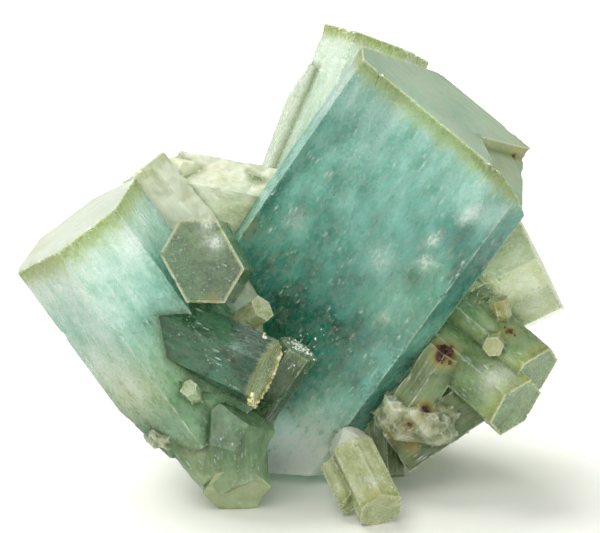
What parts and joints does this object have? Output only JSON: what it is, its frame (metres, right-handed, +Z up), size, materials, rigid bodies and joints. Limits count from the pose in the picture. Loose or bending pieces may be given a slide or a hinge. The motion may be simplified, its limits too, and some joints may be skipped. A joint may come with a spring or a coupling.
{
  "type": "aquamarine crystal cluster",
  "caption": "Natural cluster of blue-green aquamarine crystals with pale yellow-green rims, grown together on a rough granular root.",
  "frame": {"origin": "On the table plane, under the middle of the cluster's bounding box, where the cluster rests as shown.", "axes": "+X runs from the pale left crystal to the right-hand crystals, +Y runs from the front of the cluster to its back, +Z is up. The largest crystal leans to +X."},
  "size_m": [0.0824, 0.0514, 0.0672],
  "materials": {
    "aquamarine": "satin"
  },
  "bodies": {
    "root": {"aquamarine_cluster": "aquamarine"}
  },
  "joints": []
}
